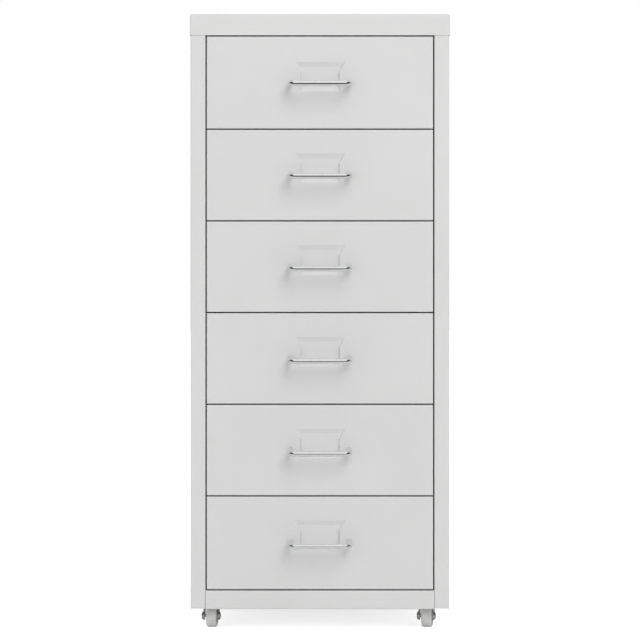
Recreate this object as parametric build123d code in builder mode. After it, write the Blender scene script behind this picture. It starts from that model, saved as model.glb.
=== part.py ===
from build123d import *
import os
from math import cos, radians, sin

# A small sheet-steel cabinet of six drawers on four castors.
# +Z is up, the drawer fronts face -Y, and +X is to the right seen from the front.
# The origin lies on the floor, under the middle of the whole outline.

os.makedirs("parts", exist_ok=True)

# --- Carcass, in millimetres ---
body_width = 285.0
body_depth = 410.0
overall_height = 680.0
lid_flange = 23.6
lid_fold_radius = 2.0
lid_return = 10.0
skirt_gap = 24.2  # floor to the lower edge of the front rail
post_lift = 0.6  # the posts end this far above the rail's lower edge
rail_height = 20.7
rail_depth = 14.0
post_width = 16.5
post_return = 14.0
rear_flange = 15.0
top_flange = 14.0
shelf_width = 42.0  # inward shelf at the foot of each side, over the castor plates
floor_upturn = 12.0
sheet = 0.7
bend = 1.0  # radius of a fold, along the middle of the sheet
fit_gap = 0.2  # between sheets that slip into each other

# --- Drawer grid ---
drawer_count = 6
pitch = 101.0
lowest_line = 149.0  # height of the joint between the two lowest drawers
front_gap = 1.3  # the dark line round every drawer front

# --- Drawer fronts ---
front_return = 12.0
front_fold_radius = 1.0
recess_depth = 1.8
recess_top = 26.8  # depths below the joint line above the drawer
recess_slope_end = 31.8
recess_lip_start = 38.2
recess_lower_slope = 56.0
recess_bottom = 60.0
recess_half_width_top = 28.5
recess_half_width_floor = 23.5  # of the sunk face, where the upper slope ends
recess_half_width = 21.5  # between the slits
recess_bend = 1.5
recess_wall_bend = 1.0
recess_rim_bend = 0.5

# --- Wire handles ---
wire_diameter = 6.0
handle_pitch = 64.4
handle_reach = 24.0
leg_drop = 50.2  # below the joint line above the drawer
bar_drop = 53.2
handle_bend = 6.5
spigot_diameter = 4.0
spigot_length = 6.0
clip_diameter = 12.0
clip_thickness = 0.6
clip_crown = 0.9

# --- Drawer trays ---
tray_sheet = 0.6
tray_height = 88.0
tray_length = 388.0
tray_flange = 10.0
tray_hem = 6.0
tray_fold_radius = 1.2
stop_height = 9.0
stop_width = 12.0
stop_reach = 7.5
stop_rise = 45.0  # above the underside of the tray
drawer_travel = 300.0
stop_play = 0.3

# --- Runners ---
runner_sheet = 0.9
runner_web_rise = 7.5
runner_step_rise = 2.6
runner_ledge = 11.5
runner_lip = 4.5
runner_side_play = 0.5
slide_play = 0.15
end_stop_height = 2.6

# --- Castors ---
castor_height = 33.0
castor_spacing = 241.8  # across, swivel to swivel
castor_front_inset = 46.0
castor_rear_inset = 46.0
castor_plate_size = 38.0
castor_plate_thickness = 1.5
castor_plate_corner = 4.0
castor_hole_pitch = 29.0
castor_trail = 11.0
wheel_diameter = 25.0
wheel_width = 11.5
wheel_edge_radius = 2.2
wheel_web_recess = 1.6
wheel_hub_diameter = 10.0
wheel_rim_depth = 3.0
wheel_shift = 1.1  # the wheels have slid along their axles
axle_diameter = 4.0
axle_play = 0.08
rivet_head_diameter = 9.0
rivet_head_height = 2.1
fork_inside = 14.4
fork_sheet = 1.2
fork_crown_diameter = 26.0
fork_crown_top = 28.6
fork_rim_rise = 2.0
fork_boss_radius = 5.0
fork_shoulder_half = 10.0
ball_diameter = 2.3
ball_ring_radius = 8.5
ball_count = 12
kingpin_diameter = 6.0
kingpin_play = 0.06
kingpin_sink_radius = 4.5
kingpin_head_diameter = 10.0
kingpin_head_height = 1.2
castor_yaw = {  # degrees each castor has swivelled, seen from above
    "front_left": -3.0,
    "front_right": -10.0,
    "rear_left": 6.0,
    "rear_right": -5.0,
}

# --- Screws ---
screw_diameter = 4.0
screw_length = 7.0
screw_head_diameter = 7.6
screw_head_height = 2.2
screw_hole_play = 0.02
screw_clearance = 0.3
cross_length = 4.4
cross_width = 0.9
cross_depth = 1.3
lid_screw_height = 668.0
rear_screw_heights = [70.0, 250.0, 430.0, 610.0]
floor_screw_spacing = 130.0

# --- Places worked out from these ---
half_width = body_width / 2
handle_out = handle_reach + wire_diameter / 2
outline_depth = handle_out + body_depth + sheet + screw_head_height
front_y = handle_out - outline_depth / 2
back_y = front_y + body_depth
lid_edge = overall_height - lid_flange
side_top = overall_height - sheet
post_foot = skirt_gap + post_lift
opening_half = half_width - post_width
rail_top = skirt_gap + rail_height
shelf_top = castor_height + sheet
floor_top = shelf_top + sheet
inner_start = front_y + post_return + 2 * sheet  # clear behind the posts' returns
inner_end = back_y - 2 * sheet - fit_gap  # clear in front of the back panel
front_half = opening_half - front_gap
tray_half = front_half - sheet
tray_front = front_y + front_fold_radius  # behind the front's folded edges
tray_rear = tray_front + tray_length


def save(piece, name):
    """Label a finished piece and write it to its own file."""
    piece.part.label = name
    export_step(piece.part, f"parts/{name}.step")


def fold_sheet(plane, corners, length, thickness=sheet):
    """Add folded sheet: the corners run along its middle, drawn on the plane."""
    with BuildSketch(plane) as section:
        with BuildLine():
            FilletPolyline(*corners, radius=bend)
        trace(line_width=thickness)
    extrude(section.sketch, amount=length)


def add_block(low, high, mode=Mode.ADD):
    """Add or cut a square-edged block between two opposite corners."""
    size = [high[i] - low[i] for i in range(3)]
    centre = [(high[i] + low[i]) / 2 for i in range(3)]
    with Locations(tuple(centre)):
        Box(*size, mode=mode)


def along_y(start):
    """A plane whose drawing is seen from the front: X across, Z up, at depth start."""
    return Plane.XZ.offset(-start)


# --- Where the drawers and the castors are ---


class Cell:
    """One drawer's place in the column, counted from the top."""

    def __init__(self, number):
        self.number = number
        self.line_above = lowest_line + (drawer_count - number) * pitch
        line_below = self.line_above - pitch
        is_top = number == 1
        is_bottom = number == drawer_count
        self.front_top = lid_edge - front_gap if is_top else self.line_above - front_gap / 2
        self.front_bottom = rail_top + front_gap if is_bottom else line_below + front_gap / 2
        self.tray_bottom = line_below + front_gap / 2 + sheet
        self.ledge = self.tray_bottom - slide_play
        self.handle_plane = leg_plane(self.line_above)


def leg_plane(line_above):
    """The tilted plane of a handle: origin between its holes, local Z out of the front."""
    rise = bar_drop - leg_drop
    return Plane(
        origin=(0, front_y, line_above - leg_drop),
        x_dir=(1, 0, 0),
        z_dir=(0, -handle_reach, -rise),
    )


cells = [Cell(number) for number in range(1, drawer_count + 1)]

swivels = {
    "front_left": (-castor_spacing / 2, front_y + castor_front_inset),
    "front_right": (castor_spacing / 2, front_y + castor_front_inset),
    "rear_left": (-castor_spacing / 2, back_y - castor_rear_inset),
    "rear_right": (castor_spacing / 2, back_y - castor_rear_inset),
}


def castor_screw_points():
    """The sixteen screws that hold the castor plates."""
    half = castor_hole_pitch / 2
    return [
        (x + dx, y + dy)
        for x, y in swivels.values()
        for dx in (-half, half)
        for dy in (-half, half)
    ]


def rear_screw_points():
    """Heights and sides of the screws along the rear flanges."""
    x = half_width - rear_flange / 2
    return [(side * x, z) for side in (-1, 1) for z in rear_screw_heights]


def lid_screw_points():
    """The two screws through the lid's rear flange."""
    x = half_width - rear_flange / 2
    return [(-x, lid_screw_height), (x, lid_screw_height)]


def floor_screw_points():
    """The two screws that join the back panel to the floor's upturned edge."""
    z = floor_top + floor_upturn / 2
    return [(-floor_screw_spacing / 2, z), (floor_screw_spacing / 2, z)]


def drill_up(points, diameter):
    """Drill through whatever lies over these places, from the floor up."""
    with BuildSketch(Plane.XY) as drill:
        with Locations(*points):
            Circle(diameter / 2)
    extrude(drill.sketch, amount=floor_top + sheet, mode=Mode.SUBTRACT)


def drill_rear(points, diameter):
    """Drill forward through the sheets at the back."""
    with BuildSketch(along_y(back_y + sheet)) as drill:
        with Locations(*points):
            Circle(diameter / 2)
    extrude(drill.sketch, amount=screw_length, mode=Mode.SUBTRACT)


thread_bore = screw_diameter + 2 * screw_hole_play
clearance_bore = screw_diameter + 2 * screw_clearance

# --- Side panels ---
# One sheet each: front post, wall and rear flange in one fold, a flange under the lid,
# and a hemmed foot that turns in as a shelf over the castors and closes the post's foot.

wall_middle = half_width - sheet / 2
post_middle = opening_half + sheet / 2
hem_middle = half_width - 1.5 * sheet

with BuildPart() as right_side_panel:
    fold_sheet(
        Plane.XY.offset(post_foot),
        [
            (post_middle, front_y + post_return),
            (post_middle, front_y + sheet / 2),
            (wall_middle, front_y + sheet / 2),
            (wall_middle, back_y - sheet / 2),
            (half_width - rear_flange, back_y - sheet / 2),
        ],
        side_top - lid_fold_radius - 2 * sheet - post_foot,
    )
    add_block(
        (opening_half + sheet, front_y + sheet, castor_height),
        (half_width - sheet, inner_start, castor_height + sheet),
    )
    fold_sheet(
        along_y(inner_start),
        [
            (wall_middle, side_top - top_flange),
            (wall_middle, side_top - sheet / 2),
            (half_width - top_flange, side_top - sheet / 2),
        ],
        -(inner_end - inner_start),
    )
    fold_sheet(
        along_y(inner_start),
        [
            (hem_middle, post_foot + sheet),
            (hem_middle, castor_height + sheet / 2),
            (half_width - shelf_width, castor_height + sheet / 2),
        ],
        -(inner_end - inner_start),
    )
    add_block(
        (half_width - 2 * sheet, inner_start, post_foot),
        (half_width - sheet, inner_end, post_foot + sheet),
    )
    drill_up(castor_screw_points(), thread_bore)
    drill_rear(rear_screw_points() + lid_screw_points(), clearance_bore)
save(right_side_panel, "right_side_panel")

with BuildPart() as left_side_panel:
    mirror(right_side_panel.part, about=Plane.YZ)
save(left_side_panel, "left_side_panel")

# --- Top panel ---
# A shallow lid with four flanges that wraps the sides, posts and back.

with BuildPart() as top_panel:
    add_block(
        (-half_width - sheet, front_y - sheet, lid_edge),
        (half_width + sheet, back_y + sheet, overall_height),
    )
    fillet(top_panel.edges().filter_by(Axis.Z), radius=bend)
    fillet(top_panel.faces().sort_by(Axis.Z)[-1].edges(), radius=lid_fold_radius)
    offset(amount=-sheet, openings=top_panel.faces().sort_by(Axis.Z)[0])
    fold_sheet(
        Plane.YZ.offset(-(opening_half - fit_gap)),
        [
            (front_y - sheet / 2, lid_edge + lid_flange / 2),
            (front_y - sheet / 2, lid_edge + sheet / 2),
            (front_y + lid_return, lid_edge + sheet / 2),
        ],
        2 * (opening_half - fit_gap),
    )
    drill_rear(lid_screw_points(), clearance_bore)
save(top_panel, "top_panel")

# --- Back panel ---
# A flat sheet held behind the drawers, inside the sides' rear flanges.

with BuildPart() as back_panel:
    add_block(
        (-half_width + sheet + bend, back_y - 2 * sheet, post_foot),
        (half_width - sheet - bend, back_y - sheet, side_top - sheet - fit_gap),
    )
    drill_rear(rear_screw_points() + lid_screw_points() + floor_screw_points(), thread_bore)
save(back_panel, "back_panel")

# --- Bottom panel ---
# The floor under the lowest drawer; its front edge is folded into the box rail seen
# between the posts, and its other edges turn up inside the sides and the back.

rail_half = opening_half - fit_gap / 2
floor_half = half_width - sheet - fit_gap
floor_middle = shelf_top + sheet / 2

with BuildPart() as bottom_panel:
    fold_sheet(
        Plane.YZ.offset(-rail_half),
        [
            (front_y + lid_return, rail_top - sheet / 2),
            (front_y + sheet / 2, rail_top - sheet / 2),
            (front_y + sheet / 2, skirt_gap + sheet / 2),
            (front_y + rail_depth - sheet / 2, skirt_gap + sheet / 2),
            (front_y + rail_depth - sheet / 2, floor_middle),
            (front_y + rail_depth + shelf_width, floor_middle),
        ],
        2 * rail_half,
    )
    add_block(
        (-floor_half, inner_start, shelf_top),
        (floor_half, inner_end, floor_top),
    )
    add_block(
        (-floor_half, inner_end - sheet, shelf_top),
        (floor_half, inner_end, floor_top + floor_upturn),
    )
    for side in (-1, 1):
        add_block(
            (min(side * floor_half, side * (floor_half - sheet)), inner_start, shelf_top),
            (max(side * floor_half, side * (floor_half - sheet)), inner_end, floor_top + floor_upturn),
        )
    drill_up(castor_screw_points(), thread_bore)
    drill_rear(floor_screw_points(), thread_bore)
save(bottom_panel, "bottom_panel")

# --- Runners ---
# Stepped strips spot-welded to the sides: the ledge carries a tray's lower edge, the
# step guides it sideways, and a tab at the rear stops it when it is shut.

runner_front = inner_start
runner_rear = inner_end - 2 * sheet
web_middle = half_width - sheet - runner_sheet / 2
step_middle = tray_half + runner_side_play + runner_sheet / 2
ledge_edge = tray_half - runner_ledge


def build_runner(cell, side):
    """Fold one runner, on the right (side 1) or the left (side -1)."""
    ledge_middle = cell.ledge - runner_sheet / 2
    step_height = cell.ledge + runner_step_rise
    with BuildPart() as runner:
        fold_sheet(
            along_y(runner_front),
            [
                (side * web_middle, cell.ledge + runner_web_rise),
                (side * web_middle, step_height),
                (side * step_middle, step_height),
                (side * step_middle, ledge_middle),
                (side * ledge_edge, ledge_middle),
                (side * ledge_edge, ledge_middle - runner_lip),
            ],
            -(runner_rear - runner_front),
            runner_sheet,
        )
        tab_inner = side * (ledge_edge + bend)
        tab_outer = side * (step_middle - bend)
        add_block(
            (min(tab_inner, tab_outer), tray_rear + stop_play, ledge_middle),
            (
                max(tab_inner, tab_outer),
                tray_rear + stop_play + runner_sheet,
                cell.ledge + end_stop_height,
            ),
        )
    return runner


for cell in cells:
    save(build_runner(cell, -1), f"left_runner_{cell.number}")
    save(build_runner(cell, 1), f"right_runner_{cell.number}")

# --- Drawer fronts ---
# A folded pan, pressed in at the middle: a card drops in from above, in front of the
# pressed panel and behind the two side lips that are cut free of it. Above the slits the
# recess widens into a drawn throat with sloping walls.


def throat_solid(cell, start):
    """The widening throat as a solid, from the depth start into the drawer."""
    top = cell.line_above - recess_top
    slope_end = cell.line_above - recess_slope_end
    lip = cell.line_above - recess_lip_start
    mouth = (start, recess_half_width_top, top)
    floor = (start + recess_depth, recess_half_width_floor, slope_end)
    with BuildPart() as throat:
        for depth, half, upper in (mouth, floor):
            with BuildSketch(along_y(depth)):
                with BuildLine():
                    Polyline(
                        (-recess_half_width, lip),
                        (recess_half_width, lip),
                        (half, upper),
                        (-half, upper),
                        close=True,
                    )
                make_face()
        loft(ruled=True)
        bends = throat.edges().filter_by(GeomType.LINE).group_by(Axis.Y)[1:]
        corners = bends[0].group_by(Axis.Z)[-1]
        floor_edges = bends[-1] - bends[-1].sort_by(Axis.Z)[:1]
        fillet(corners + floor_edges, radius=recess_wall_bend)
    return throat.part


def pressed_panel(cell):
    """The sheet between the slits, sunk by the recess depth above its lower slope."""
    depth = front_y + sheet / 2
    line = cell.line_above
    with BuildPart() as panel:
        with BuildSketch(Plane.YZ.offset(-recess_half_width)):
            with BuildLine():
                FilletPolyline(
                    (depth + recess_depth, line - recess_lip_start),
                    (depth + recess_depth, line - recess_lower_slope),
                    (depth, line - recess_bottom + recess_bend / 2),
                    (depth, line - recess_bottom),
                    radius=recess_bend,
                )
            trace(line_width=sheet)
        extrude(amount=2 * recess_half_width)
    return panel.part


def leg_bars(cell, diameter):
    """Round bars along both legs of the handle, through the drawer front."""
    with BuildPart() as bars:
        with BuildSketch(cell.handle_plane.offset(-spigot_length)):
            with Locations((-handle_pitch / 2, 0), (handle_pitch / 2, 0)):
                Circle(diameter / 2)
        extrude(amount=spigot_length + wire_diameter)
    return bars.part


def build_front(cell):
    """Fold and press one drawer front."""
    pressed = pressed_panel(cell)
    mouth = throat_solid(cell, front_y)
    back_of_throat = throat_solid(cell, front_y + sheet)
    bores = leg_bars(cell, spigot_diameter + 2 * screw_clearance)
    with BuildPart() as front:
        add_block(
            (-front_half, front_y, cell.front_bottom),
            (front_half, front_y + front_return, cell.front_top),
        )
        fillet(front.faces().sort_by(Axis.Y)[0].edges(), radius=front_fold_radius)
        offset(amount=-sheet, openings=front.faces().sort_by(Axis.Y)[-1])
        add_block(
            (-recess_half_width, front_y - sheet, cell.line_above - recess_bottom),
            (recess_half_width, front_y + 2 * sheet, cell.line_above - recess_lip_start),
            mode=Mode.SUBTRACT,
        )
        add(back_of_throat)
        add(mouth, mode=Mode.SUBTRACT)
        face_openings = front.faces().filter_by(Plane.XZ).sort_by(Axis.Y)[0].inner_wires()
        rim = face_openings.edges().filter_by_position(
            Axis.Z,
            cell.line_above - recess_lip_start + recess_rim_bend,
            cell.line_above,
        )
        fillet(rim, radius=recess_rim_bend)
        add(pressed)
        add(bores, mode=Mode.SUBTRACT)
    return front


for cell in cells:
    save(build_front(cell), f"drawer_{cell.number}_front")

# --- Drawer trays ---
# Floor, sides and rear wall with hemmed upper edges; the sides' front edges turn in
# against the drawer front, and a lanced tab on each side stops the drawer when it is open.

stop_front = front_y + post_return + drawer_travel + stop_play


def build_tray(cell):
    """Fold one tray."""
    bottom = cell.tray_bottom
    top = bottom + tray_height
    flange_edge = tray_half - tray_flange
    with BuildPart() as tray:
        add_block((-tray_half, tray_front, bottom), (tray_half, tray_rear, top))
        low_edges = tray.faces().sort_by(Axis.Z)[0].edges()
        fillet(low_edges - low_edges.sort_by(Axis.Y)[:1], radius=tray_fold_radius)
        open_faces = tray.faces().sort_by(Axis.Z)[-1:] + tray.faces().sort_by(Axis.Y)[:1]
        offset(amount=-tray_sheet, openings=open_faces)
        hem = 2 * tray_sheet
        for side in (-1, 1):
            wall = sorted((side * tray_half, side * (tray_half - hem)))
            add_block((wall[0], tray_front, top - tray_hem), (wall[1], tray_rear, top))
            turn = sorted((side * tray_half, side * flange_edge))
            add_block(
                (turn[0], tray_front, bottom + 2 * tray_sheet),
                (turn[1], tray_front + tray_sheet, top - tray_hem),
            )
        add_block((-tray_half, tray_rear - hem, top - tray_hem), (tray_half, tray_rear, top))
        rims = tray.faces().sort_by(Axis.Z)[-1].edges()
        fillet(rims, radius=tray_sheet * 0.9)
        window_low = bottom + stop_rise
        for side in (-1, 1):
            window = sorted((side * (tray_half - 2 * tray_sheet), side * (tray_half + tray_sheet)))
            add_block(
                (window[0], stop_front, window_low),
                (window[1], stop_front + stop_width, window_low + stop_height),
                mode=Mode.SUBTRACT,
            )
            tab = sorted((side * (tray_half - tray_sheet), side * (tray_half + stop_reach)))
            add_block(
                (tab[0], stop_front, window_low),
                (tab[1], stop_front + tray_sheet, window_low + stop_height),
            )
    return tray


for cell in cells:
    save(build_tray(cell), f"drawer_{cell.number}_tray")

# --- Wire handles and their push-on clips ---


def build_handle(cell):
    """Bend one handle; its thinner ends pass through the drawer front."""
    half = handle_pitch / 2
    bar_y = front_y - handle_reach
    bar_z = cell.line_above - bar_drop
    slope = (bar_drop - leg_drop) / handle_reach
    start_y = front_y + wire_diameter
    start_z = cell.line_above - leg_drop + slope * wire_diameter
    spigots = leg_bars(cell, spigot_diameter)
    with BuildPart() as handle:
        with BuildLine() as wire:
            FilletPolyline(
                (-half, start_y, start_z),
                (-half, bar_y, bar_z),
                (half, bar_y, bar_z),
                (half, start_y, start_z),
                radius=handle_bend,
            )
        with BuildSketch(Plane(origin=wire.wire() @ 0, z_dir=wire.wire() % 0)):
            Circle(wire_diameter / 2)
        sweep()
        split(bisect_by=along_y(front_y), keep=Keep.TOP)
        add(spigots)
    return handle


def build_clips(cell):
    """The two spring washers pushed on behind one drawer front."""
    seat = front_y + sheet
    height = cell.line_above - leg_drop
    bores = leg_bars(cell, spigot_diameter + 2 * screw_hole_play)
    with BuildPart() as clips:
        with BuildSketch(along_y(seat)):
            with Locations((-handle_pitch / 2, height), (handle_pitch / 2, height)):
                Circle(clip_diameter / 2)
        extrude(amount=-clip_thickness)
        with BuildSketch(along_y(seat + clip_thickness)):
            with Locations((-handle_pitch / 2, height), (handle_pitch / 2, height)):
                Circle(clip_diameter / 3)
        extrude(amount=-clip_crown)
        fillet(clips.edges().group_by(Axis.Y)[-1], radius=clip_crown * 0.8)
        add(bores, mode=Mode.SUBTRACT)
    return clips


for cell in cells:
    save(build_handle(cell), f"drawer_{cell.number}_handle")
    save(build_clips(cell), f"drawer_{cell.number}_handle_clips")

# --- Castors ---
# A square plate, a ball race closed by the fork's upturned rim, a stamped fork on a
# kingpin, and a plain wheel on a riveted axle.

plate_bottom = castor_height - castor_plate_thickness
crown_bottom = fork_crown_top - fork_sheet
wheel_radius = wheel_diameter / 2
arm_outside = fork_inside / 2 + fork_sheet


def swivel_plane(place, height):
    """A level plane on the swivel's axis, turned with the castor."""
    x, y = swivels[place]
    yaw = radians(castor_yaw[place])
    return Plane(origin=(x, y, height), x_dir=(cos(yaw), sin(yaw), 0))


def axle_plane(place):
    """An upright plane across the axle, midway between the fork's arms."""
    x, y = swivels[place]
    yaw = radians(castor_yaw[place])
    trailing = (-sin(yaw), cos(yaw), 0)
    return Plane(
        origin=(x - castor_trail * trailing[0], y - castor_trail * trailing[1], wheel_radius),
        x_dir=trailing,
        z_dir=(cos(yaw), sin(yaw), 0),
    )


def kingpin_sink(mode=Mode.ADD):
    """The countersunk upper head of a kingpin, from the plate's lower face up."""
    Cone(
        kingpin_diameter / 2,
        kingpin_sink_radius,
        castor_plate_thickness,
        align=(Align.CENTER, Align.CENTER, Align.MIN),
        mode=mode,
    )


def build_castor_plate(place):
    """The plate screwed under the cabinet's corner, countersunk for the kingpin."""
    with BuildPart() as plate:
        with BuildSketch(Plane.XY.offset(plate_bottom)):
            with Locations(swivels[place]):
                RectangleRounded(castor_plate_size, castor_plate_size, castor_plate_corner)
                with GridLocations(castor_hole_pitch, castor_hole_pitch, 2, 2):
                    Circle(clearance_bore / 2, mode=Mode.SUBTRACT)
        extrude(amount=castor_plate_thickness)
        with Locations((*swivels[place], plate_bottom)):
            kingpin_sink(mode=Mode.SUBTRACT)
    return plate


def build_fork(place):
    """The stamped fork: a rimmed crown under the plate and two arms to the axle."""
    axle_at = axle_plane(place)
    with BuildPart() as fork:
        with BuildSketch(swivel_plane(place, crown_bottom)):
            Circle(fork_crown_diameter / 2)
        extrude(amount=fork_sheet + fork_rim_rise)
        fillet(fork.edges().sort_by(Axis.Z)[0], radius=fork_sheet / 2)
        with BuildSketch(swivel_plane(place, fork_crown_top)):
            Circle(fork_crown_diameter / 2 - fork_sheet)
        extrude(amount=fork_rim_rise, mode=Mode.SUBTRACT)
        for face_at in (fork_inside / 2, -arm_outside):
            with BuildSketch(axle_at.offset(face_at)):
                Circle(fork_boss_radius)
                with Locations((castor_trail, crown_bottom + fork_sheet / 2 - wheel_radius)):
                    Rectangle(2 * fork_shoulder_half, fork_sheet)
                make_hull()
            extrude(amount=fork_sheet)
        with BuildSketch(axle_at.offset(-arm_outside)):
            Circle(axle_diameter / 2 + screw_hole_play)
        extrude(amount=2 * arm_outside, mode=Mode.SUBTRACT)
        with BuildSketch(swivel_plane(place, crown_bottom)):
            Circle(kingpin_diameter / 2 + kingpin_play)
        extrude(amount=fork_sheet, mode=Mode.SUBTRACT)
    return fork


def build_axle(place):
    """The riveted axle with its two domed heads."""
    across = axle_plane(place)
    with BuildPart() as axle:
        with BuildSketch(across.offset(-arm_outside)):
            Circle(axle_diameter / 2)
        extrude(amount=2 * arm_outside)
        for side in (-1, 1):
            start = side * arm_outside
            with BuildSketch(across.offset(start)):
                Circle(rivet_head_diameter / 2)
            extrude(amount=side * rivet_head_height)
        along = Axis(across.origin, across.z_dir)
        end_edges = axle.edges().group_by(along)[0] + axle.edges().group_by(along)[-1]
        fillet(end_edges, radius=rivet_head_height * 0.9)
    return axle


def build_wheel(place):
    """The moulded wheel, thinner between its hub and its tread."""
    middle = axle_plane(place).offset(wheel_shift)
    rim_radius = wheel_radius - wheel_rim_depth
    with BuildPart() as wheel:
        with BuildSketch(middle):
            Circle(wheel_radius)
        extrude(amount=wheel_width / 2, both=True)
        fillet(wheel.edges(), radius=wheel_edge_radius)
        for side in (-1, 1):
            with BuildSketch(middle.offset(side * wheel_width / 2)):
                Circle(rim_radius)
                Circle(wheel_hub_diameter / 2, mode=Mode.SUBTRACT)
            extrude(amount=-side * wheel_web_recess, mode=Mode.SUBTRACT)
        with BuildSketch(middle):
            Circle(axle_diameter / 2 + axle_play)
        extrude(amount=wheel_width, both=True, mode=Mode.SUBTRACT)
    return wheel


for place in swivels:
    save(build_castor_plate(place), f"castor_{place}_plate")
    save(build_fork(place), f"castor_{place}_fork")
    save(build_axle(place), f"castor_{place}_axle")
    save(build_wheel(place), f"castor_{place}_wheel")

# The four kingpins, riveted flush into their plates and headed under the forks.

with BuildPart() as castor_kingpins:
    with BuildSketch(Plane.XY.offset(crown_bottom - kingpin_play)):
        with Locations(*swivels.values()):
            Circle(kingpin_diameter / 2)
    extrude(amount=plate_bottom - crown_bottom + kingpin_play)
    with Locations(*[(*place, plate_bottom) for place in swivels.values()]):
        kingpin_sink()
    with BuildSketch(Plane.XY.offset(crown_bottom - kingpin_play)):
        with Locations(*swivels.values()):
            Circle(kingpin_head_diameter / 2)
    extrude(amount=-kingpin_head_height)
    lowest = castor_kingpins.edges().group_by(Axis.Z)[0]
    fillet(lowest, radius=kingpin_head_height / 2)
save(castor_kingpins, "castor_kingpins")

# The balls that each fork turns on.

with BuildPart() as castor_bearing_balls:
    for x, y in swivels.values():
        with Locations((x, y, (plate_bottom + fork_crown_top) / 2)):
            with PolarLocations(ball_ring_radius, ball_count):
                Sphere(ball_diameter / 2)
save(castor_bearing_balls, "castor_bearing_balls")

# --- Screws ---
# All are the same pan-head screw: sixteen in the castor plates, the rest at the back.


def screw_group(plane, points):
    """Screws at points on the plane: heads below it, shanks along its normal."""
    with BuildPart() as group:
        with BuildSketch(plane):
            with Locations(*points):
                Circle(screw_head_diameter / 2)
        extrude(amount=-screw_head_height)
        along = Axis(plane.origin, plane.z_dir)
        fillet(group.edges().group_by(along)[0], radius=screw_head_height * 0.7)
        with BuildSketch(plane):
            with Locations(*points):
                Circle(screw_diameter / 2)
        extrude(amount=screw_length)
        with BuildSketch(plane.offset(-screw_head_height)):
            with Locations(*points):
                Rectangle(cross_length, cross_width)
                Rectangle(cross_width, cross_length)
        extrude(amount=cross_depth, mode=Mode.SUBTRACT)
    return group.part


with BuildPart() as screws:
    add(screw_group(Plane.XY.offset(plate_bottom), castor_screw_points()))
    add(screw_group(along_y(back_y), rear_screw_points()))
    add(screw_group(along_y(back_y + sheet), lid_screw_points()))
    add(screw_group(along_y(back_y - sheet), floor_screw_points()))
save(screws, "screws")
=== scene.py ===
import math

import bpy
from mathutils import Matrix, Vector


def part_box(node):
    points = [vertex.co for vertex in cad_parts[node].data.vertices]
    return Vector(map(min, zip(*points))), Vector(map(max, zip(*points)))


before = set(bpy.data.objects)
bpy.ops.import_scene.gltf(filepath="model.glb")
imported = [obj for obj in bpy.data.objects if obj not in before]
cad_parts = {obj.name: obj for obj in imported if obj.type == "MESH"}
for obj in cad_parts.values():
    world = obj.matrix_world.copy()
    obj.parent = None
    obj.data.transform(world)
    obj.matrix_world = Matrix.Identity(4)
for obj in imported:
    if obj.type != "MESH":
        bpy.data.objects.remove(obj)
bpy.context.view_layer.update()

# --- Camera ---
# The cabinet is seen square-on from 2.3 m and from about half its height, through a long
# lens, so its sides and top don't show.
camera_distance = 2.3
camera_height = 0.34283
camera_right = 0.0001
picture_pixels = 640
metres_per_pixel = 0.0011012  # at the drawer fronts
metres_across = picture_pixels * metres_per_pixel
sensor_width = 36.0
front_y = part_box("left_side_panel")[0].y

camera_data = bpy.data.cameras.new("camera")
camera_data.sensor_width = sensor_width
camera_data.lens = sensor_width * camera_distance / metres_across
camera = bpy.data.objects.new("camera", camera_data)
camera.location = (camera_right, front_y - camera_distance, camera_height)
camera.rotation_euler = (math.radians(90), 0, 0)
bpy.context.scene.collection.objects.link(camera)
bpy.context.scene.camera = camera
bpy.context.scene.view_settings.view_transform = "Standard"

# --- Studio ---
# A white floor that runs into a white background, one broad soft lamp high on the right
# in front of the cabinet, a weak fill low on the left and one overhead. Low in front and
# at the sides the room is dark, which only polished metal shows.
lamps = (  # name, direction from the cabinet, distance, width, watts
    ("key_lamp", (8.5, -21.8, 15.0), 5.0, 2.6, 80.0),
    ("fill_lamp", (-1.2, -2.0, 0.12), 5.0, 3.3, 19.0),
    ("top_lamp", (0.1, -0.55, 1.0), 4.0, 2.0, 11.0),
)
lamp_target = Vector((0, 0, 0.34))  # the middle of the cabinet
ambient_strength = 0.56  # the room's light on the cabinet, where white is 1
dark_room = 0.07  # tone of the room's dark part, where white is 1
dark_room_top = (0.04, 0.34)  # upward part of a direction, over which the room turns white
dark_room_back = (0.25, 0.8)  # backward part, over which it turns white
dark_room_sides = (0.45, 0.8)  # sideways part, over which it turns dark again
floor_half = 60.0
floor_colour = (0.93, 0.93, 0.93, 1)
floor_roughness = 0.9
floor_lift = 0.74  # added where the camera sees the floor, so that it runs into white
dark_floor = (-1.05, -0.72)  # metres in front, over which the mirrored floor turns light
white = (1, 1, 1, 1)


def node_material(name):
    """A material with its node tree and its shader ready to wire."""
    made = bpy.data.materials.new(name)
    made.use_nodes = True
    tree = made.node_tree
    shader = tree.nodes["Principled BSDF"]
    return made, tree, shader


def link(tree, source, target):
    tree.links.new(source, target)


def math_node(tree, operation, first, second):
    """One step of arithmetic between sockets or numbers."""
    step = tree.nodes.new("ShaderNodeMath")
    step.operation = operation
    for place, value in enumerate((first, second)):
        if isinstance(value, (int, float)):
            step.inputs[place].default_value = value
        else:
            link(tree, value, step.inputs[place])
    return step.outputs[0]


def parts_of(tree, vector):
    """The X, Y and Z of a vector, each as a socket."""
    split = tree.nodes.new("ShaderNodeSeparateXYZ")
    link(tree, vector, split.inputs[0])
    return split.outputs


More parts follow.
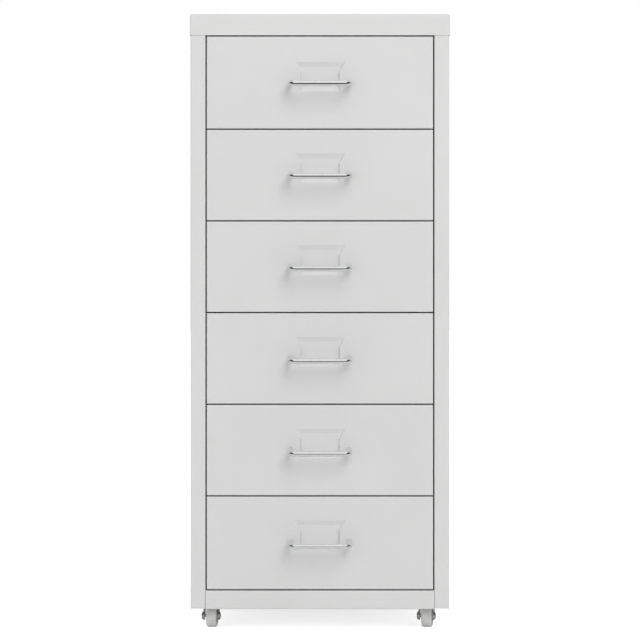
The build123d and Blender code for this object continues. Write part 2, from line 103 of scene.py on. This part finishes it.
def fade(tree, value, start, end, low, high):
    """A smooth change from low to high while the value goes from start to end."""
    ramp = tree.nodes.new("ShaderNodeMapRange")
    ramp.interpolation_type = "SMOOTHSTEP"
    ramp.inputs["From Min"].default_value = start
    ramp.inputs["From Max"].default_value = end
    ramp.inputs["To Min"].default_value = low
    ramp.inputs["To Max"].default_value = high
    link(tree, value, ramp.inputs["Value"])
    return ramp.outputs["Result"]


def add_lamp(name, towards, distance, size, watts):
    """A square soft lamp that faces the cabinet; metal shows the white room, not the lamp."""
    direction = Vector(towards).normalized()
    data = bpy.data.lights.new(name, "AREA")
    data.shape = "SQUARE"
    data.size = size
    data.energy = watts
    lamp = bpy.data.objects.new(name, data)
    lamp.location = lamp_target + direction * distance
    lamp.rotation_euler = (-direction).to_track_quat("-Z", "Y").to_euler()
    lamp.visible_glossy = False
    bpy.context.scene.collection.objects.link(lamp)


for lamp_values in lamps:
    add_lamp(*lamp_values)

world = bpy.data.worlds.new("studio")
bpy.context.scene.world = world
world.use_nodes = True
world_tree = world.node_tree
ray = world_tree.nodes.new("ShaderNodeLightPath").outputs
seen = math_node(world_tree, "MAXIMUM", ray["Is Camera Ray"], ray["Is Transmission Ray"])
directions = world_tree.nodes.new("ShaderNodeTexCoord")
looking = parts_of(world_tree, directions.outputs["Generated"])
above = fade(world_tree, looking["Z"], *dark_room_top, dark_room, 1.0)
behind = fade(world_tree, looking["Y"], *dark_room_back, dark_room, 1.0)
sideways = math_node(world_tree, "ABSOLUTE", looking["X"], 0.0)
between = fade(world_tree, sideways, *dark_room_sides, 1.0, dark_room)
mirrored = math_node(world_tree, "MAXIMUM", above, behind)
mirrored = math_node(world_tree, "MULTIPLY", mirrored, between)
mirrored = math_node(world_tree, "MULTIPLY", mirrored, ray["Is Glossy Ray"])
shown = math_node(world_tree, "MAXIMUM", seen, mirrored)
unseen = math_node(world_tree, "MAXIMUM", seen, ray["Is Glossy Ray"])
unseen = math_node(world_tree, "SUBTRACT", 1.0, unseen)
ambient = math_node(world_tree, "MULTIPLY", unseen, ambient_strength)
background = world_tree.nodes["Background"]
background.inputs["Color"].default_value = white
link(world_tree, math_node(world_tree, "ADD", shown, ambient), background.inputs["Strength"])

floor_material, floor_tree, floor_shader = node_material("white_floor")
floor_shader.inputs["Base Color"].default_value = floor_colour
floor_shader.inputs["Roughness"].default_value = floor_roughness
floor_shader.inputs["Specular IOR Level"].default_value = 0.0
floor_ray = floor_tree.nodes.new("ShaderNodeLightPath").outputs
floor_seen = math_node(
    floor_tree, "MAXIMUM", floor_ray["Is Camera Ray"], floor_ray["Is Transmission Ray"]
)
lift = floor_tree.nodes.new("ShaderNodeEmission")
link(floor_tree, math_node(floor_tree, "MULTIPLY", floor_seen, floor_lift), lift.inputs["Strength"])
lit = floor_tree.nodes.new("ShaderNodeAddShader")
link(floor_tree, floor_shader.outputs[0], lit.inputs[0])
link(floor_tree, lift.outputs[0], lit.inputs[1])
unlit = floor_tree.nodes.new("ShaderNodeBsdfDiffuse")
unlit.inputs["Color"].default_value = (dark_room, dark_room, dark_room, 1)
floor_points = floor_tree.nodes.new("ShaderNodeNewGeometry")
floor_place = parts_of(floor_tree, floor_points.outputs["Position"])
in_front = fade(floor_tree, floor_place["Y"], *dark_floor, 1.0, 0.0)
in_front = math_node(floor_tree, "MULTIPLY", in_front, floor_ray["Is Glossy Ray"])
floor_mix = floor_tree.nodes.new("ShaderNodeMixShader")
link(floor_tree, in_front, floor_mix.inputs[0])
link(floor_tree, lit.outputs[0], floor_mix.inputs[1])
link(floor_tree, unlit.outputs[0], floor_mix.inputs[2])
floor_output = floor_tree.nodes["Material Output"]
link(floor_tree, floor_mix.outputs[0], floor_output.inputs["Surface"])

floor_mesh = bpy.data.meshes.new("floor")
square = ((-1, -1), (1, -1), (1, 1), (-1, 1))
corners = [(x * floor_half, y * floor_half, 0) for x, y in square]
floor_mesh.from_pydata(corners, [], [(0, 1, 2, 3)])
floor_mesh.materials.append(floor_material)
floor = bpy.data.objects.new("floor", floor_mesh)
bpy.context.scene.collection.objects.link(floor)

# --- Painted carcass ---
# Folded steel sheet under a smooth white powder coat: the two sides with their posts,
# the lid, the back and the bottom with its rail. The coat has a faint orange peel, and
# painted shade in the seams where two sheets nearly meet.
paint_light = (0.728, 0.728, 0.725, 1)
paint_deep = (0.706, 0.706, 0.703, 1)
paint_roughness = (0.40, 0.52)
paint_specular = 0.45
peel_size = 0.0016  # metres between the bumps of the coat
peel_detail = 1.0
peel_depth = 0.000018
cloud_size = 0.11  # metres across the coat's slow changes of tone
cloud_detail = 3.0
gloss_size = cloud_size / 8
gloss_detail = 4.0
# painted shade in the seams: how far it looks, where it fades, how dark, how many samples
seam_reach = 0.006
seam_range = (0.05, 0.45)  # open share of the surroundings over which a seam's painted shade fades
seam_dark = 0.4
seam_samples = 4
noise_middle = (0.3, 0.7)  # the part of the noise's range that a change is spread over


def object_noise(tree, size, detail, stretch=(1, 1, 1)):
    """Noise fixed to the object, one cell of the given size in metres."""
    place = tree.nodes.new("ShaderNodeTexCoord")
    scale = tree.nodes.new("ShaderNodeMapping")
    scale.inputs["Scale"].default_value = stretch
    noise = tree.nodes.new("ShaderNodeTexNoise")
    noise.inputs["Scale"].default_value = 1.0 / size
    noise.inputs["Detail"].default_value = detail
    link(tree, place.outputs["Object"], scale.inputs["Vector"])
    link(tree, scale.outputs["Vector"], noise.inputs["Vector"])
    return noise.outputs["Fac"]


def blend_colours(tree, factor, low, high):
    """A colour between two others, by a noise factor."""
    ramp = tree.nodes.new("ShaderNodeValToRGB")
    for stop, position, colour in zip(ramp.color_ramp.elements, noise_middle, (low, high)):
        stop.position = position
        stop.color = colour
    link(tree, factor, ramp.inputs["Fac"])
    return ramp.outputs["Color"]


def range_of(tree, factor, low, high):
    """A number between two others, by a noise factor."""
    scale = tree.nodes.new("ShaderNodeMapRange")
    scale.inputs["From Min"].default_value = noise_middle[0]
    scale.inputs["From Max"].default_value = noise_middle[1]
    scale.inputs["To Min"].default_value = low
    scale.inputs["To Max"].default_value = high
    link(tree, factor, scale.inputs["Value"])
    return scale.outputs["Result"]


def add_bump(tree, shader, height, depth):
    """Relief of the given depth in metres."""
    bump = tree.nodes.new("ShaderNodeBump")
    bump.inputs["Strength"].default_value = 1.0
    bump.inputs["Distance"].default_value = depth
    link(tree, height, bump.inputs["Height"])
    link(tree, bump.outputs["Normal"], shader.inputs["Normal"])


def paint_seam_shade(tree, colour):
    """Painted shade where two sheets nearly meet: the colour, darker in a crevice."""
    open_sky = tree.nodes.new("ShaderNodeAmbientOcclusion")
    open_sky.samples = seam_samples
    open_sky.inputs["Distance"].default_value = seam_reach
    # painted shade: the colour is multiplied darker where the surroundings close in
    seam_shade_mix = tree.nodes.new("ShaderNodeMix")
    seam_shade_mix.data_type = "RGBA"
    seam_shade_mix.blend_type = "MULTIPLY"
    seam_shade_mix.inputs["Factor"].default_value = 1.0
    shade = fade(tree, open_sky.outputs["AO"], *seam_range, seam_dark, 1.0)
    link(tree, colour, seam_shade_mix.inputs["A"])
    link(tree, shade, seam_shade_mix.inputs["B"])
    return seam_shade_mix.outputs["Result"]


def powder_coat(name, light, deep):
    """Satin powder coat: slow changes of tone, uneven gloss, orange peel, painted seam shade."""
    made, tree, shader = node_material(name)
    colour = blend_colours(tree, object_noise(tree, cloud_size, cloud_detail), deep, light)
    gloss = range_of(tree, object_noise(tree, gloss_size, gloss_detail), *paint_roughness)
    # the base colour carries painted shade in the seams
    link(tree, paint_seam_shade(tree, colour), shader.inputs["Base Color"])
    link(tree, gloss, shader.inputs["Roughness"])
    add_bump(tree, shader, object_noise(tree, peel_size, peel_detail), peel_depth)
    shader.inputs["Specular IOR Level"].default_value = paint_specular
    return made


def dress(node, material):
    """Give a CAD node this one material."""
    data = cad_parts[node].data
    data.materials.clear()
    data.materials.append(material)


carcass_paint = powder_coat("carcass_powder_coat", paint_light, paint_deep)
for node in ("left_side_panel", "right_side_panel", "top_panel", "bottom_panel", "back_panel"):
    dress(node, carcass_paint)

# --- Drawer fronts ---
# Each front is a folded pan of the same painted sheet, pressed in at the middle to hold
# a card behind two side lips.
front_light = (0.72, 0.72, 0.718, 1)
front_deep = (0.70, 0.70, 0.698, 1)

drawers = range(1, 7)
front_paint = powder_coat("front_powder_coat", front_light, front_deep)
for number in drawers:
    dress(f"drawer_{number}_front", front_paint)

# --- Trays and runners ---
# The trays are thinner painted sheet. The runners are stepped strips welded to the sides,
# and the trays have rubbed their upper faces bare in streaks that run front to back.
tray_light = (0.70, 0.70, 0.695, 1)
tray_deep = (0.67, 0.67, 0.665, 1)
bare_steel = (0.33, 0.33, 0.34, 1)
rub_size = 0.004
rub_detail = 3.0
rub_stretch = (1, 0.04, 1)
rub_amount = (-0.6, 1.0)  # below 0 the paint is whole
rub_level = (0.7, 0.95)  # how far a face looks up before it is rubbed

tray_paint = powder_coat("tray_powder_coat", tray_light, tray_deep)
runner_paint = powder_coat("rubbed_powder_coat", tray_light, tray_deep)
runner_tree = runner_paint.node_tree
runner_shader = runner_tree.nodes["Principled BSDF"]
coat_colour = runner_shader.inputs["Base Color"].links[0].from_socket
streaks = object_noise(runner_tree, rub_size, rub_detail, rub_stretch)
worn = range_of(runner_tree, streaks, *rub_amount)
runner_surface = runner_tree.nodes.new("ShaderNodeNewGeometry")
facing = parts_of(runner_tree, runner_surface.outputs["Normal"])
level = fade(runner_tree, facing["Z"], *rub_level, 0.0, 1.0)
rub = math_node(runner_tree, "MULTIPLY", worn, level)
bare = runner_tree.nodes.new("ShaderNodeMix")
bare.data_type = "RGBA"
bare.inputs["B"].default_value = bare_steel
link(runner_tree, rub, bare.inputs["Factor"])
link(runner_tree, coat_colour, bare.inputs["A"])
link(runner_tree, bare.outputs["Result"], runner_shader.inputs["Base Color"])
link(runner_tree, rub, runner_shader.inputs["Metallic"])
for number in drawers:
    dress(f"drawer_{number}_tray", tray_paint)
    dress(f"left_runner_{number}", runner_paint)
    dress(f"right_runner_{number}", runner_paint)

# --- Wire handles ---
# Chrome-plated steel wire, bent at both ends; its thinner ends pass through the front.
# The plating is polished, with faint changes of tone and gloss.
chrome_low = (0.74, 0.745, 0.755, 1)
chrome_high = (0.80, 0.80, 0.805, 1)


def mottled_finish(name, metallic, colours, tone, roughness, gloss, grain=None, grain_depth=0.0):
    """A finish with uneven tone and gloss and perhaps a grain, each a size and its detail."""
    made, tree, shader = node_material(name)
    shader.inputs["Metallic"].default_value = metallic
    colour = blend_colours(tree, object_noise(tree, *tone), *colours)
    rough = range_of(tree, object_noise(tree, *gloss), *roughness)
    link(tree, colour, shader.inputs["Base Color"])
    link(tree, rough, shader.inputs["Roughness"])
    if grain:
        add_bump(tree, shader, object_noise(tree, *grain), grain_depth)
    return made


chrome = mottled_finish(
    "chrome_plate",
    metallic=1.0,
    colours=(chrome_low, chrome_high),
    tone=(0.004, 4.0),
    roughness=(0.05, 0.12),
    gloss=(0.0015, 5.0),
)
for number in drawers:
    dress(f"drawer_{number}_handle", chrome)

# --- Push-on clips ---
# Domed washers of blued spring steel, pushed over the handles' ends behind the fronts.
# They are seen only from inside an open drawer.
blued_low = (0.16, 0.17, 0.20, 1)
blued_high = (0.28, 0.27, 0.27, 1)

spring_steel = mottled_finish(
    "blued_spring_steel",
    metallic=1.0,
    colours=(blued_low, blued_high),
    tone=(0.003, 2.0),
    roughness=(0.3, 0.45),
    gloss=(0.001, 2.0),
)
for number in drawers:
    dress(f"drawer_{number}_handle_clips", spring_steel)

# --- Castors ---
# Zinc-plated pressings screwed under the cabinet, with a light grey moulded wheel on a
# riveted axle. The zinc is mottled and the plastic slightly grained.
zinc_low = (0.44, 0.44, 0.45, 1)
zinc_high = (0.60, 0.60, 0.61, 1)
wheel_low = (0.80, 0.80, 0.79, 1)
wheel_high = (0.88, 0.88, 0.87, 1)

zinc = mottled_finish(
    "bright_zinc",
    metallic=1.0,
    colours=(zinc_low, zinc_high),
    tone=(0.0025, 4.0),
    roughness=(0.25, 0.4),
    gloss=(0.0012, 4.0),
    grain=(0.0008, 3.0),
    grain_depth=0.00001,
)
wheel_plastic = mottled_finish(
    "grey_wheel_plastic",
    metallic=0.0,
    colours=(wheel_low, wheel_high),
    tone=(0.006, 4.0),
    roughness=(0.42, 0.6),
    gloss=(0.002, 3.0),
    grain=(0.0009, 3.0),
    grain_depth=0.00002,
)
for place in ("front_left", "front_right", "rear_left", "rear_right"):
    for piece in ("plate", "fork", "axle"):
        dress(f"castor_{place}_{piece}", zinc)
    dress(f"castor_{place}_wheel", wheel_plastic)

# --- Small steel pieces ---
# The castors' kingpins and balls and all the pan-head screws are of the same bright
# zinc-plated steel as the castors.
for node in ("castor_kingpins", "castor_bearing_balls", "screws"):
    dress(node, zinc)
